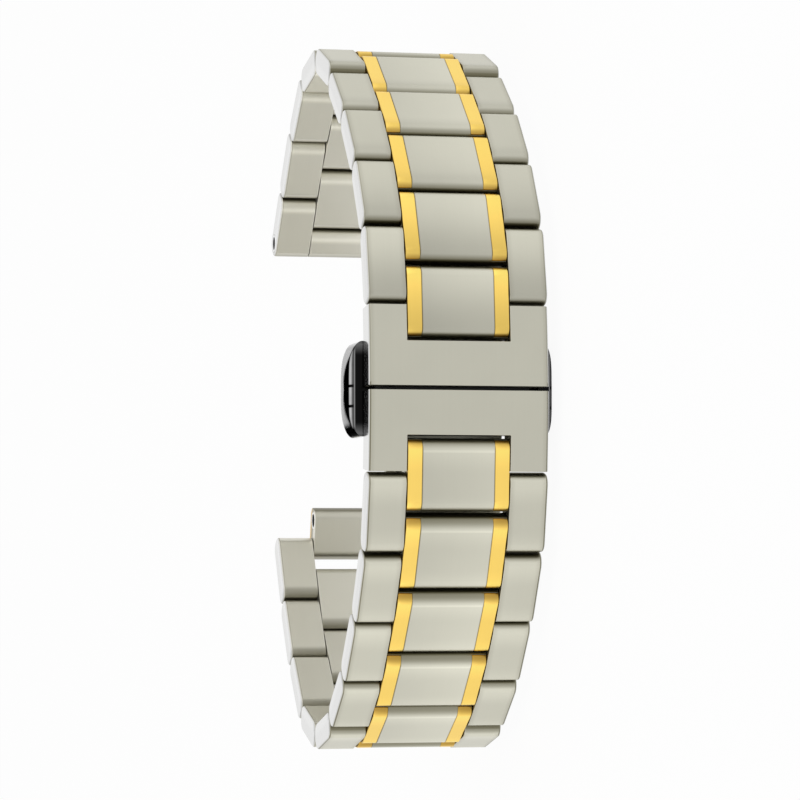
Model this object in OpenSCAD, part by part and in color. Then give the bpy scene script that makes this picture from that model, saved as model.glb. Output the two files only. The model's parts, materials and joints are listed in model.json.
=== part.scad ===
// Steel watch bracelet, five rows, closed by a double folding clasp with two push buttons.
// It lies on its long side: the hinge axes run along Z, the clasp faces -Y, the halves run to +X and -X.
// Half a runs to +X and half b to -X. Lengths are in millimetres, angles in degrees.

/* [Band] */

// full width of the band
band_width = 20; // [16:0.5:24]
// length of one link along the band
pitch = 8.9; // [8.2:0.1:10.5]
// thickness of the links
thickness = 3; // [2.6:0.1:3.4]
// width of an outer plate
column_width = 4.25; // [3.5:0.05:5]
// width of a gold strip
strip_width = 1.65; // [1:0.05:2.2]
// thickness of a gold strip
strip_thickness = 0.8; // [0.5:0.05:0.9]
// gap between the ends of two links in one row
link_gap = 0.2; // [0.15:0.05:0.4]
// gap between neighbouring rows
row_gap = 0.08; // [0.05:0.01:0.15]
// rounding of the ends on the outside
outer_corner_r = 1.2; // [0.5:0.1:1.3]
// rounding of the ends on the wrist side
inner_corner_r = 1.3; // [1.1:0.1:1.5]
// bevel along the sides of the band
side_bevel = 0.25; // [0.1:0.05:0.5]
// number of outer pairs in each half
pair_count = 9; // [9:1:9]
// length of the first centre link of each half before its pin
first_link_tail = 1.35; // [1.3:0.05:2]
// gap between the first centre link and the cover
first_link_gap = 0.4; // [0.25:0.05:0.5]

/* [Pins] */

// diameter of the chain pins
pin_d = 1; // [0.8:0.05:1.1]
// steel left over each end of a chain pin
pin_cap = 0.8; // [0.5:0.1:1.5]
// radial clearance of every pin in the piece that turns on it
pin_play = 0.05; // [0.02:0.01:0.08]
// diameter of the clasp's hinge pins
hinge_pin_d = 1.2; // [1:0.1:1.3]

/* [Watch ends] */

// bore for the watch's spring bar
bar_hole_d = 1.6; // [1.4:0.05:1.8]
// outer diameter of the spring bar tubes
bar_tube_d = 2.1; // [2:0.05:2.3]
// distance of the spring bar from the end of its link
bar_inset = 1.5; // [1.3:0.1:2]
// length of the end link of half b past its pin
end_link_reach = 5.2; // [4.5:0.1:7]
// length of the end link of half b before its pin
end_link_tail = 1.1; // [1.05:0.05:1.4]
// distance of the end link's pin from the end of its outer pair
end_pin_inset = 1.4; // [1.3:0.1:2]

/* [Rest shape] */

// turn at each pin of half a, clasp first
bend_angles_a = [0, 8, 12, 9, 7, 4, 7, 3, 0, 15, 15, 15, 15, 14, 0, 8, 1, 0];
// turn at each pin of half b, clasp first
bend_angles_b = [0, 8, 15, 5, 9, 0, 7, 7, 6, 15, 15, 13, 15, 14, 0, 9, 6, 0];
// turn of the end link of half b
end_link_angle = 45; // [0:1:60]

/* [Clasp covers] */

// radius of the covers' outer face
cover_radius = 80; // [50:5:120]
// length of a cover from the middle of the clasp
cover_length = 9; // [8.8:0.1:10.5]
// gap between the two covers
split_gap = 0.45; // [0.3:0.05:0.8]
// radius of the ears round the tip pins
ear_r = 1.3; // [1.1:0.05:1.4]
// thickness of each ear
ear_width = 1.4; // [1:0.1:1.6]

/* [Base plate and blades] */

// depth of the base plate's front face in the middle
base_depth = 7.3; // [7.2:0.1:8]
// radius of the base plate's front face
base_radius = 90; // [70:5:120]
// thickness of the base plate
base_thickness = 1; // [0.8:0.1:1.2]
// half the width of the base plate
base_half_width = 6.5; // [6.2:0.1:6.8]
// distance of a blade's hinge from the middle of the clasp
hinge_x = 16.5; // [15.5:0.1:18]
// distance of a blade's tip pin from the middle of the clasp
tip_x = 6.8; // [6.6:0.1:7.4]
// depth of a blade's tip pin
tip_depth = 6.1; // [5.9:0.1:6.2]
// thickness of a blade
blade_thickness = 1; // [0.8:0.1:1.2]
// gap between a blade and the base plate
blade_gap = 0.3; // [0.2:0.05:0.5]
// half the width of a blade
blade_half_width = 5.8; // [5.2:0.1:5.8]
// half the width of a blade's knuckle at the base plate
neck_half_width = 3.9; // [3:0.1:4.2]
// radius of the hinge knuckles
knuckle_r = 1.1; // [1:0.05:1.2]
// gap beside a knuckle or an ear
side_play = 0.2; // [0.1:0.05:0.3]
// gap round a blade's knuckle in the base plate
knuckle_play = 0.35; // [0.25:0.05:0.5]

/* [Latch] */

// half the length of the latch housing along the band
housing_half_length = 4.9; // [4.8:0.1:5.1]
// depth of the housing's front face
housing_depth = 3.5; // [3.4:0.1:3.8]
// side walls of the housing
housing_wall = 0.7; // [0.5:0.1:0.8]
// front wall of the housing
front_wall = 0.8; // [0.6:0.1:0.9]
// floor of the housing on the base plate
housing_floor = 0.5; // [0.4:0.1:0.6]
// rim of the housing past the slots for the hooks
slot_rim = 0.65; // [0.4:0.05:0.7]
// thickness of the wall between the two springs
spring_wall = 1.2; // [0.8:0.1:1.6]
// distance of a hook from the middle of the clasp
hook_x = 1.8; // [1.7:0.1:2.2]
// length of a hook along the band
hook_length = 1.2; // [0.8:0.1:1.4]
// distance of a hook from the middle plane of the band
hook_z = 7; // [6.9:0.05:7.1]
// thickness of a hook
hook_width = 0.8; // [0.6:0.1:1]
// length of the hook's barb
barb = 0.4; // [0.3:0.05:0.5]
// depth of a hook's foot
hook_depth = 6.5; // [6.2:0.1:6.6]
// depth of a hook's root in its cover
hook_root = 1; // [0.6:0.1:1.4]
// gap between a hook's barb and the catch bar
catch_gap = 0.1; // [0.08:0.01:0.15]
// length of a hook's slot past the hook, towards the middle
slot_lead = 0.5; // [0.4:0.05:0.6]

/* [Push buttons] */

// length of a button along the band at the side of the band
button_length = 10.4; // [9:0.1:10.6]
// height of a button's dome over the side of the band
button_rise = 1.65; // [1.4:0.05:2]
// depth of a button's front face
button_front = 3.4; // [3.3:0.1:3.6]
// depth of a button's back face
button_back = 8.2; // [7.8:0.1:8.6]
// depth of the highest point of the dome
button_crest = 6.4; // [5.8:0.1:6.8]
// radius of the dome across its length
button_crown_r = 8; // [7:0.5:10]
// travel of a button
button_travel = 1; // [0.7:0.1:1]
// thickness of the root of a button inside the band's side
button_root = 0.25; // [0.2:0.05:0.3]
// half the width of a slider's stem
stem_half = 1.1; // [0.8:0.05:1.3]
// thickness of a slider's catch bar
catch_width = 1.3; // [1:0.1:1.5]
// depth of a slider's catch bar
catch_depth = 1; // [0.8:0.1:1.1]
// length of the spigot that holds a spring
spigot_length = 1.2; // [0.8:0.1:1.4]
// radial gap between a spring and its spigot
spigot_play = 0.15; // [0.1:0.01:0.2]
// sliding gap of the slider in the housing
slide_play = 0.2; // [0.1:0.05:0.3]
// mean radius of a return spring
spring_r = 1; // [0.85:0.05:1.1]
// radius of the spring wire
wire_r = 0.15; // [0.12:0.01:0.16]
// number of turns of a return spring
spring_turns = 5; // [4:1:6]
// gap at each end of a return spring
spring_end_gap = 0.02; // [0.01:0.01:0.05]

/* [Hidden] */

$fn = 48;
eps = 0.01;

steel = [0.74, 0.74, 0.71];
bright = [0.86, 0.87, 0.88];
gold = [0.9, 0.74, 0.4];

half_band = band_width / 2;
pin_r = pin_d / 2;
pin_bore_r = pin_r + pin_play;
hinge_pin_r = hinge_pin_d / 2;
hinge_bore_r = hinge_pin_r + pin_play;
// distance between neighbouring pins, and from a pin to the middle of the gap past it
pin_step = pitch / 2;
pin_inset = pitch / 4;
link_length = pitch - link_gap;
first_link_cut = (link_length - pin_step) / 2 - first_link_tail;
center_half = half_band - column_width - row_gap;
pin_half = half_band - pin_cap;
strip_floor = strip_thickness - thickness / 2;

// the chain's first pin stands in the cover's arms, on the middle line of the cover's thickness
middle_radius = cover_radius - thickness / 2;
start_angle = (cover_length - pin_inset) / middle_radius * 180 / PI;
start_pin = [middle_radius * sin(start_angle), cover_radius - middle_radius * cos(start_angle)];
notch_angle = (cover_length - pin_inset - first_link_tail - first_link_gap) / middle_radius * 180 / PI;
arm_end_angle = (cover_length - link_gap / 2) / middle_radius * 180 / PI;

// turn of the link between pin n - 1 and pin n, and the place of pin n
function turn(angles, n) = n == 0 ? start_angle : turn(angles, n - 1) + angles[n - 1];
function dir(a) = [cos(a), sin(a)];
function pin_at(angles, n) = n == 0 ? start_pin : pin_at(angles, n - 1) + pin_step * dir(turn(angles, n));
function mid_at(angles, n) = (pin_at(angles, n - 1) + pin_at(angles, n)) / 2;

last = 2 * pair_count;
end_pin_shift = link_length / 2 - end_pin_inset;
end_pin_b = mid_at(bend_angles_b, last) + end_pin_shift * dir(turn(bend_angles_b, last));
end_angle_b = turn(bend_angles_b, last) + end_link_angle;
end_link_length = end_link_reach + end_link_tail;
end_link_middle = (end_link_reach - end_link_tail) / 2;

// reach of a rounded link along X and against Y, used to put the origin in the middle of the part
function corner_reach(angles, n, d) = let (a = turn(angles, n), m = mid_at(angles, n), u = dir(a),
  v = [-u[1], u[0]], x = link_length / 2 - outer_corner_r, y = outer_corner_r - thickness / 2)
  max([for (s = [-1, 1]) (m + s * x * u + y * v) * d]) + outer_corner_r;
reach_a = max([for (n = [1:last]) corner_reach(bend_angles_a, n, [1, 0])]);
reach_b = max([for (n = [1:last]) corner_reach(bend_angles_b, n, [1, 0])]);
back_a = max([for (n = [1:last]) corner_reach(bend_angles_a, n, [0, 1])]);
back_b = max([for (n = [1:last]) corner_reach(bend_angles_b, n, [0, 1])]);
front = cover_radius - sqrt(pow(cover_radius, 2) - pow(split_gap / 2, 2));
middle_x = (reach_a - reach_b) / 2;
middle_y = (max(back_a, back_b) + front) / 2;

base_center = base_depth + base_radius;
blade_radius = base_radius + blade_gap + blade_thickness / 2;
hinge_depth = base_center - sqrt(pow(blade_radius, 2) - pow(hinge_x, 2));
knuckle_clear = knuckle_r + knuckle_play;
base_knuckle_in = neck_half_width + side_play;

// lengths of the latch, all measured from the middle plane of the band
cavity_half_length = housing_half_length - housing_wall;
cavity_front = housing_depth + front_wall;
cavity_back = base_depth - housing_floor;
slot_out = hook_z + hook_width + slide_play;
housing_half_width = slot_out + slot_rim;
catch_edge = hook_z - barb - catch_gap;
catch_front = cavity_front + slide_play;
catch_back = catch_front + catch_depth;
slider_back = cavity_back - slide_play;
slider_middle = (catch_front + slider_back) / 2;
barb_front = catch_back + slide_play;
stem_out = half_band - button_root;
catch_in = catch_edge - catch_width;
spigot_r = spring_r - wire_r - spigot_play;
button_plan_r = (pow(button_length / 2, 2) + pow(button_rise, 2)) / (2 * button_rise);

// Frame and halves

// puts the part's origin under its middle, on the side it lies on
module placed() {
  translate([-middle_x, -middle_y, half_band + button_rise]) children();
}

// half a as drawn, half b mirrored
module half(is_a) {
  placed() {
    if (is_a) children();
    else mirror([1, 0, 0]) children();
  }
}

// puts a link's own frame at the middle of link n
module at_link(angles, n) {
  translate(concat(mid_at(angles, n), 0)) rotate([0, 0, turn(angles, n)]) children();
}

// a block from one corner to the other
module block(low, high) {
  translate(low) cube(high - low);
}

// a round bar along Z
module bar(r, low, high, at = [0, 0]) {
  translate([at[0], at[1], low]) cylinder(r = r, h = high - low);
}

// Links

// side view of a link, length l: outer face at -Y, with the ends rolled off
module link_outline(l) {
  half_l = l / 2;
  half_t = thickness / 2;
  translate([outer_corner_r - half_l, -half_t]) square([l - 2 * outer_corner_r, half_t]);
  translate([inner_corner_r - half_l, 0]) square([l - 2 * inner_corner_r, half_t]);
  translate([-half_l, outer_corner_r - half_t]) square([l, thickness - outer_corner_r - inner_corner_r]);
  for (s = [-1, 1]) {
    translate([s * (half_l - outer_corner_r), outer_corner_r - half_t]) circle(r = outer_corner_r);
    translate([s * (half_l - inner_corner_r), half_t - inner_corner_r]) circle(r = inner_corner_r);
  }
}

// end view of the plate on the +Z side, bevelled along the band's side
module plate_section() {
  t = thickness / 2;
  polygon([[-t, half_band - column_width], [t, half_band - column_width], [t, half_band - side_bevel],
    [t - side_bevel, half_band], [side_bevel - t, half_band], [-t, half_band - side_bevel]]);
}

// one outer plate, with blind holes for its pins at the given places along it
module plate(holes) {
  difference() {
    intersection() {
      translate([0, 0, half_band - column_width]) linear_extrude(column_width) link_outline(link_length);
      rotate([90, 0, 90]) translate([0, 0, -link_length]) linear_extrude(2 * link_length) plate_section();
    }
    for (h = holes) bar(h[1], half_band - column_width - 1, h[2], [h[0], 0]);
  }
}

// two plates and the pins that join them, each hole as [place, radius, end]
module outer_pair(holes, pins) {
  plate(holes);
  mirror([0, 0, 1]) plate(holes);
  for (x = pins) bar(pin_r, -pin_half, pin_half, [x, 0]);
}

// steel body of a centre link of length l, an inverted T with room for the gold strips
module center_body(l, bores, bore_r) {
  difference() {
    union() {
      linear_extrude(2 * (center_half - strip_width), center = true) link_outline(l);
      linear_extrude(2 * center_half, center = true) wrist_side(l);
    }
    for (x = bores) bar(bore_r, -half_band, half_band, [x, 0]);
  }
}

// the part of a link's outline under the gold strips
module wrist_side(l) {
  intersection() {
    link_outline(l);
    translate([-l, strip_floor]) square([2 * l, thickness]);
  }
}

// the two gold strips of a centre link of length l, with the same bores as its body
module gold_strips(l, bores, bore_r) {
  for (s = [0, 1]) mirror([0, 0, s]) difference() {
    translate([0, 0, center_half - strip_width]) linear_extrude(strip_width) intersection() {
      link_outline(l);
      translate([-l, strip_floor - thickness]) square([2 * l, thickness]);
    }
    for (x = bores) bar(bore_r, -half_band, half_band, [x, 0]);
  }
}

// a centre link with its end on the clasp's side cut back
module center_link(cut) {
  shift = cut / 2;
  bores = [-pin_step / 2 - shift, pin_step / 2 - shift];
  translate([shift, 0, 0]) {
    color(steel) center_body(link_length - cut, bores, pin_bore_r);
    color(gold) gold_strips(link_length - cut, bores, pin_bore_r);
  }
}

// an outer pair inside the chain
module outer_link() {
  color(steel) outer_pair([[-pin_step / 2, pin_r, pin_half], [pin_step / 2, pin_r, pin_half]],
    [-pin_step / 2, pin_step / 2]);
}

// links of half a and half b, k counted from the clasp
module a_center(k) {
  half(true) at_link(bend_angles_a, 2 * k - 1) center_link(k == 1 ? first_link_cut : 0);
}

module a_outer(k) {
  half(true) at_link(bend_angles_a, 2 * k) outer_link();
}

module b_center(k) {
  half(false) at_link(bend_angles_b, 2 * k - 1) center_link(k == 1 ? first_link_cut : 0);
}

module b_outer(k) {
  half(false) at_link(bend_angles_b, 2 * k) outer_link();
}

module a_center_1() { a_center(1); }
module a_center_2() { a_center(2); }
module a_center_3() { a_center(3); }
module a_center_4() { a_center(4); }
module a_center_5() { a_center(5); }
module a_center_6() { a_center(6); }
module a_center_7() { a_center(7); }
module a_center_8() { a_center(8); }
module a_center_9() { a_center(9); }
module a_outer_1() { a_outer(1); }
module a_outer_2() { a_outer(2); }
module a_outer_3() { a_outer(3); }
module a_outer_4() { a_outer(4); }
module a_outer_5() { a_outer(5); }
module a_outer_6() { a_outer(6); }
module a_outer_7() { a_outer(7); }
module a_outer_8() { a_outer(8); }
module b_center_1() { b_center(1); }
module b_center_2() { b_center(2); }
module b_center_3() { b_center(3); }
module b_center_4() { b_center(4); }
module b_center_5() { b_center(5); }
module b_center_6() { b_center(6); }
module b_center_7() { b_center(7); }
module b_center_8() { b_center(8); }
module b_center_9() { b_center(9); }
module b_outer_1() { b_outer(1); }
module b_outer_2() { b_outer(2); }
module b_outer_3() { b_outer(3); }
module b_outer_4() { b_outer(4); }
module b_outer_5() { b_outer(5); }
module b_outer_6() { b_outer(6); }
module b_outer_7() { b_outer(7); }
module b_outer_8() { b_outer(8); }

// Watch ends

bar_shift = link_length / 2 - bar_inset;
bar_tube_r = bar_tube_d / 2;
filler_length = (link_length - link_gap) / 2;
filler_shift = (link_length - filler_length) / 2;

// last outer pair of half a: one chain pin, and the spring bar's tube right through it
module a_outer_9() {
  half(true) at_link(bend_angles_a, last) color(steel)
    outer_pair([[-pin_step / 2, pin_r, pin_half], [bar_shift, bar_tube_r, half_band + 1]], [-pin_step / 2]);
}

// half-length centre piece that ends level with the last outer pair
module a_end_filler() {
  half(true) at_link(bend_angles_a, last) translate([filler_shift, 0, 0]) {
    color(steel) center_body(filler_length, [bar_shift - filler_shift], bar_tube_r);
    color(gold) gold_strips(filler_length, [bar_shift - filler_shift], bar_tube_r);
  }
}

// tube for the watch's spring bar, of the given half length
module bar_tube(half_length) {
  difference() {
    bar(bar_tube_r, -half_length, half_length);
    bar(bar_hole_d / 2, -half_length - 1, half_length + 1);
  }
}

module a_end_tube() {
  half(true) at_link(bend_angles_a, last) translate([bar_shift, 0, 0]) color(steel) bar_tube(half_band);
}

// last outer pair of half b, with the end link's pin near its end
module b_outer_9() {
  half(false) at_link(bend_angles_b, last) color(steel)
    outer_pair([[-pin_step / 2, pin_r, pin_half], [end_pin_shift, pin_r, pin_half]],
      [-pin_step / 2, end_pin_shift]);
}

// puts the end link's frame at its middle
module at_end_link() {
  translate(concat(end_pin_b, 0)) rotate([0, 0, end_angle_b]) translate([end_link_middle, 0, 0]) children();
}

end_bar_shift = end_link_length / 2 - bar_inset;

// short end link of half b, with its pin bore and the seat of the spring bar's tube
module b_center_10() {
  half(false) at_end_link() {
    color(steel) difference() {
      center_body(end_link_length, [-end_link_middle], pin_bore_r);
      bar(bar_tube_r, -half_band, half_band, [end_bar_shift, 0]);
    }
    color(gold) gold_strips(end_link_length, [end_bar_shift], bar_tube_r);
  }
}

module b_end_tube() {
  half(false) at_end_link() translate([end_bar_shift, 0, 0]) color(steel) bar_tube(center_half);
}

// Clasp covers

// section of the cover's ring: radius across, band width up
module cover_section() {
  inner = cover_radius - thickness;
  polygon([[inner, -half_band], [cover_radius - side_bevel, -half_band],
    [cover_radius, side_bevel - half_band], [cover_radius, half_band - side_bevel],
    [cover_radius - side_bevel, half_band], [inner, half_band]]);
}

// wedge of the cover's ring between two angles from the middle of the clasp
module cover_wedge(from, to) {
  reach = cover_radius + thickness;
  linear_extrude(2 * band_width, center = true)
    polygon([[reach * sin(from), cover_radius - reach * cos(from)],
      [reach * sin(to), cover_radius - reach * cos(to)],
      [cover_radius / 2 * sin(to), cover_radius - cover_radius / 2 * cos(to)],
      [cover_radius / 2 * sin(from), cover_radius - cover_radius / 2 * cos(from)]]);
}

split_angle = split_gap / 2 / middle_radius * 180 / PI;
notch_half = center_half + row_gap;
ear_in = blade_half_width + side_play;
ear_out = ear_in + ear_width;

// hooks of one cover, also cut from it as their seats
module hook_legs(front_y) {
  for (s = [-1, 1]) block([hook_x, front_y, s > 0 ? hook_z : -hook_z - hook_width],
    [hook_x + hook_length, hook_depth, s > 0 ? hook_z + hook_width : -hook_z]);
}

// cover with its two arms, the chain pin in them, and the ears that hold the blade's tip
module cover() {
  color(steel) difference() {
    union() {
      intersection() {
        translate([0, cover_radius, 0]) rotate_extrude() cover_section();
        cover_wedge(split_angle, arm_end_angle);
      }
      for (s = [0, 1]) mirror([0, 0, s]) {
        bar(ear_r, ear_in, ear_out, [tip_x, tip_depth]);
        block([tip_x - ear_r, thickness / 2, ear_in], [tip_x + ear_r, tip_depth, ear_out]);
      }
    }
    intersection() {
      block([0, -1, -notch_half], [band_width, thickness + 1, notch_half]);
      cover_wedge(notch_angle, 2 * arm_end_angle);
    }
    bar(pin_r, -pin_half, pin_half, start_pin);
    bar(hinge_pin_r, -half_band, half_band, [tip_x, tip_depth]);
    hook_legs(thickness - hook_root);
  }
  color(steel) bar(pin_r, -pin_half, pin_half, start_pin);
}

module a_cover() {
  half(true) cover();
}

module b_cover() {
  half(false) cover();
}

// hooks that drop into the latch housing, with barbs towards the middle of the band
module latch_hooks() {
  color(bright) for (s = [0, 1]) mirror([0, 0, s]) {
    block([hook_x, thickness - hook_root, hook_z], [hook_x + hook_length, hook_depth, hook_z + hook_width]);
    block([hook_x, barb_front, hook_z - barb], [hook_x + hook_length, hook_depth, hook_z + eps]);
  }
}

module a_latch_hooks() {
  half(true) latch_hooks();
}

module b_latch_hooks() {
  half(false) latch_hooks();
}

module tip_pin() {
  color(bright) bar(hinge_pin_r, -ear_out, ear_out, [tip_x, tip_depth]);
}

module a_tip_pin() {
  half(true) tip_pin();
}

module b_tip_pin() {
  half(false) tip_pin();
}

// Base plate and blades

// ring of the base plate's centre, between two radii, from x = low to x = high
module arc_plate(outer, inner, low, high, half_width) {
  intersection() {
    translate([0, base_center, 0]) difference() {
      cylinder(r = outer, h = 2 * half_width, center = true, $fn = 360);
      cylinder(r = inner, h = 4 * half_width, center = true, $fn = 360);
    }
    block([low, 0, -half_width - 1], [high, base_center / 2, half_width + 1]);
  }
}

// curved plate on the wrist side, its ends rolled to the front round the hinge pins
module base_plate() {
  placed() color(steel) difference() {
    union() {
      arc_plate(base_radius, base_radius - base_thickness, -hinge_x, hinge_x, base_half_width);
      for (s = [-1, 1]) {
        bar(knuckle_r, -base_half_width, base_half_width, [s * hinge_x, hinge_depth]);
        block([s * hinge_x - knuckle_r, hinge_depth, -base_half_width], [s * hinge_x + knuckle_r,
          hinge_depth + blade_thickness / 2 + blade_gap + base_thickness, base_half_width]);
      }
    }
    for (s = [-1, 1]) {
      block([s * hinge_x - knuckle_clear, 0, -base_knuckle_in],
        [s * hinge_x + knuckle_clear, base_center / 2, base_knuckle_in]);
      bar(hinge_pin_r, -half_band, half_band, [s * hinge_x, hinge_depth]);
    }
  }
}

module base_pin() {
  color(bright) bar(hinge_pin_r, -base_half_width, base_half_width, [hinge_x, hinge_depth]);
}

module a_base_pin() {
  half(true) base_pin();
}

module b_base_pin() {
  half(false) base_pin();
}

// blade between the base plate and the cover, with a knuckle at each end
module blade() {
  outer = blade_radius + blade_thickness / 2;
  color(steel) difference() {
    union() {
      arc_plate(outer, outer - blade_thickness, tip_x, hinge_x - knuckle_clear, blade_half_width);
      arc_plate(outer, outer - blade_thickness, tip_x, hinge_x, neck_half_width);
      bar(knuckle_r, -blade_half_width, blade_half_width, [tip_x, tip_depth]);
      bar(knuckle_r, -neck_half_width, neck_half_width, [hinge_x, hinge_depth]);
    }
    for (p = [[tip_x, tip_depth], [hinge_x, hinge_depth]]) bar(hinge_bore_r, -half_band, half_band, p);
  }
}

module a_blade() {
  half(true) blade();
}

module b_blade() {
  half(false) blade();
}

// Latch

// housing on the base plate, open at both sides of the band, with slots for the hooks
module latch_housing() {
  placed() color(steel) difference() {
    block([-housing_half_length, housing_depth, -housing_half_width],
      [housing_half_length, base_depth + 1, housing_half_width]);
    translate([0, base_center, 0]) cylinder(r = base_radius, h = band_width, center = true, $fn = 360);
    for (s = [0, 1]) mirror([0, 0, s]) {
      block([-cavity_half_length, cavity_front, spring_wall / 2],
        [cavity_half_length, cavity_back, half_band]);
      for (t = [0, 1]) mirror([t, 0, 0])
        block([hook_x - slot_lead, 0, hook_z - barb - slide_play],
          [cavity_half_length, cavity_front + eps, slot_out]);
    }
  }
}

// domed button, its slider's stem, catch bar and spring spigot, drawn on the +Z side
module pusher() {
  color(bright) {
    intersection() {
      block([-button_length / 2, button_front, stem_out],
        [button_length / 2, button_back, half_band + button_rise + 1]);
      translate([0, 0, half_band + button_rise - button_plan_r]) rotate([-90, 0, 0])
        cylinder(r = button_plan_r, h = 2 * button_back, $fn = 180);
      translate([-button_length, button_crest, half_band + button_rise - button_crown_r]) rotate([0, 90, 0])
        cylinder(r = button_crown_r, h = 2 * button_length, $fn = 180);
    }
    block([-stem_half, catch_front, catch_in], [stem_half, slider_back, stem_out + eps]);
    block([slide_play - cavity_half_length, catch_front, catch_in],
      [cavity_half_length - slide_play, catch_back, catch_edge]);
    bar(spigot_r, catch_in - spigot_length, catch_in + eps, [0, slider_middle]);
  }
}

module pusher_left() {
  placed() pusher();
}

module pusher_right() {
  placed() mirror([0, 0, 1]) pusher();
}

// coil: centre line by a formula, swept by a ring of six points
spring_low = spring_wall / 2 + wire_r + spring_end_gap;
spring_high = catch_in - wire_r - spring_end_gap;
spring_rings = 10 * spring_turns;
spring_rise = (spring_high - spring_low) / spring_rings;
ring_sides = 6;
spring_slope = atan2(spring_high - spring_low, 2 * PI * spring_r * spring_turns);
function coil_ring(i) = let (a = 360 * spring_turns * i / spring_rings, slope = spring_slope,
  c = [spring_r * cos(a), spring_r * sin(a), spring_low + spring_rise * i],
  n = [cos(a), sin(a), 0], b = [sin(slope) * sin(a), -sin(slope) * cos(a), cos(slope)])
  [for (j = [0:ring_sides - 1]) c + wire_r * (cos(360 * j / ring_sides) * n + sin(360 * j / ring_sides) * b)];
coil_points = [for (i = [0:spring_rings]) each coil_ring(i)];
function ring_point(i, j) = ring_sides * i + j % ring_sides;
coil_faces = concat([[for (j = [0:ring_sides - 1]) j]],
  [for (i = [0:spring_rings - 1], j = [0:ring_sides - 1]) each
    [[ring_point(i, j), ring_point(i + 1, j), ring_point(i + 1, j + 1)],
      [ring_point(i, j), ring_point(i + 1, j + 1), ring_point(i, j + 1)]]],
  [[for (j = [ring_sides - 1:-1:0]) ring_point(spring_rings, j)]]);
echo(spring_gap = (spring_high - spring_low) / spring_turns - 2 * wire_r);

module return_spring() {
  color(bright) translate([0, slider_middle, 0]) polyhedron(coil_points, coil_faces);
}

module spring_left() {
  placed() return_spring();
}

module spring_right() {
  placed() rotate([0, 180, 0]) return_spring();
}

base_plate();
latch_housing();
a_base_pin();
b_base_pin();
a_blade();
b_blade();
a_cover();
b_cover();
a_latch_hooks();
b_latch_hooks();
a_tip_pin();
b_tip_pin();
pusher_left();
pusher_right();
spring_left();
spring_right();
a_center_1();
a_outer_1();
a_center_2();
a_outer_2();
a_center_3();
a_outer_3();
a_center_4();
a_outer_4();
a_center_5();
a_outer_5();
a_center_6();
a_outer_6();
a_center_7();
a_outer_7();
a_center_8();
a_outer_8();
a_center_9();
a_outer_9();
a_end_filler();
a_end_tube();
b_center_1();
b_outer_1();
b_center_2();
b_outer_2();
b_center_3();
b_outer_3();
b_center_4();
b_outer_4();
b_center_5();
b_outer_5();
b_center_6();
b_outer_6();
b_center_7();
b_outer_7();
b_center_8();
b_outer_8();
b_center_9();
b_outer_9();
b_center_10();
b_end_tube();
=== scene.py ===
"""Five-row steel and gold watch bracelet, closed by a double folding clasp with two push buttons."""

import json
import math

import bmesh
import bpy
import numpy as np
from mathutils import Matrix, Vector


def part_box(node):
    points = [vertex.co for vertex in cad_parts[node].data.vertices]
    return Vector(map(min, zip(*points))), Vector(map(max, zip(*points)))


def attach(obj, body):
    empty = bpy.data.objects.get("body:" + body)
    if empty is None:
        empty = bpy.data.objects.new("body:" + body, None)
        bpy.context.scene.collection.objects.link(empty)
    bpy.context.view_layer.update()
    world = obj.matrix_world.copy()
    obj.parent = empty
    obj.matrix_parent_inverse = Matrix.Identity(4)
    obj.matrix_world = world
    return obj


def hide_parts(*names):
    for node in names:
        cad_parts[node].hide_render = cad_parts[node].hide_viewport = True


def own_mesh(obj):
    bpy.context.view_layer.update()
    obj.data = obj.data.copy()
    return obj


bl_info = {
    "name": "Two-Tone Link Bracelet",
    "version": (1, 0, 0),
    "blender": (4, 5, 0),
    "location": "3D View > Sidebar > Bracelet",
    "description": "Builds a steel and gold link bracelet with a double folding clasp",
    "category": "Add Mesh",
}

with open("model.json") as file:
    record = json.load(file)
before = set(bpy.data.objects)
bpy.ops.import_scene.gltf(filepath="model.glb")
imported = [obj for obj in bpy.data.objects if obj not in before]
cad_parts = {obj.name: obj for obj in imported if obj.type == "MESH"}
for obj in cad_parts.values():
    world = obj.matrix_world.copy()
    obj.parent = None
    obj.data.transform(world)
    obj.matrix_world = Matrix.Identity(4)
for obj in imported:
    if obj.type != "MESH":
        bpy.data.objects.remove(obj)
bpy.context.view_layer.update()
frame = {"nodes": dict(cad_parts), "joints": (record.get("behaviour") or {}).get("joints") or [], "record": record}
HINGES = {joint["name"]: Vector(joint["pos_m"]) for joint in frame["joints"] if "pos_m" in joint}
MOUNTS = {mount["name"]: Vector(mount["pos_m"]) for mount in frame["record"]["mounts"]}
MIDDLE = HINGES["a_center_1_hinge"].z
MM = 0.001

# Half a runs up from the clasp, half b down, and each has this many outer pairs
HALVES = ("a", "b")
PAIRS = 9

# Lines along the band, in millimetres from its middle
STRIP_EDGE = 4.02
CENTRE_EDGE = 5.71
FLANK_EDGE = 9.84

# Attributes that tell the finishes where a point lies on its piece
ENDS = "link_ends"
CROWN = "crown_place"

# How far a cutter passes what it cuts, a hair's breadth, and how near points are merged
SPARE = 1 * MM
HAIR = 0.01 * MM
WELD = 0.001 * MM

# Edges bent by more than this, in radians, are bevelled; pins and bores have this many sides
SHARP_ANGLE = 0.6
BAR_SIDES = 32


# Nodes


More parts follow.
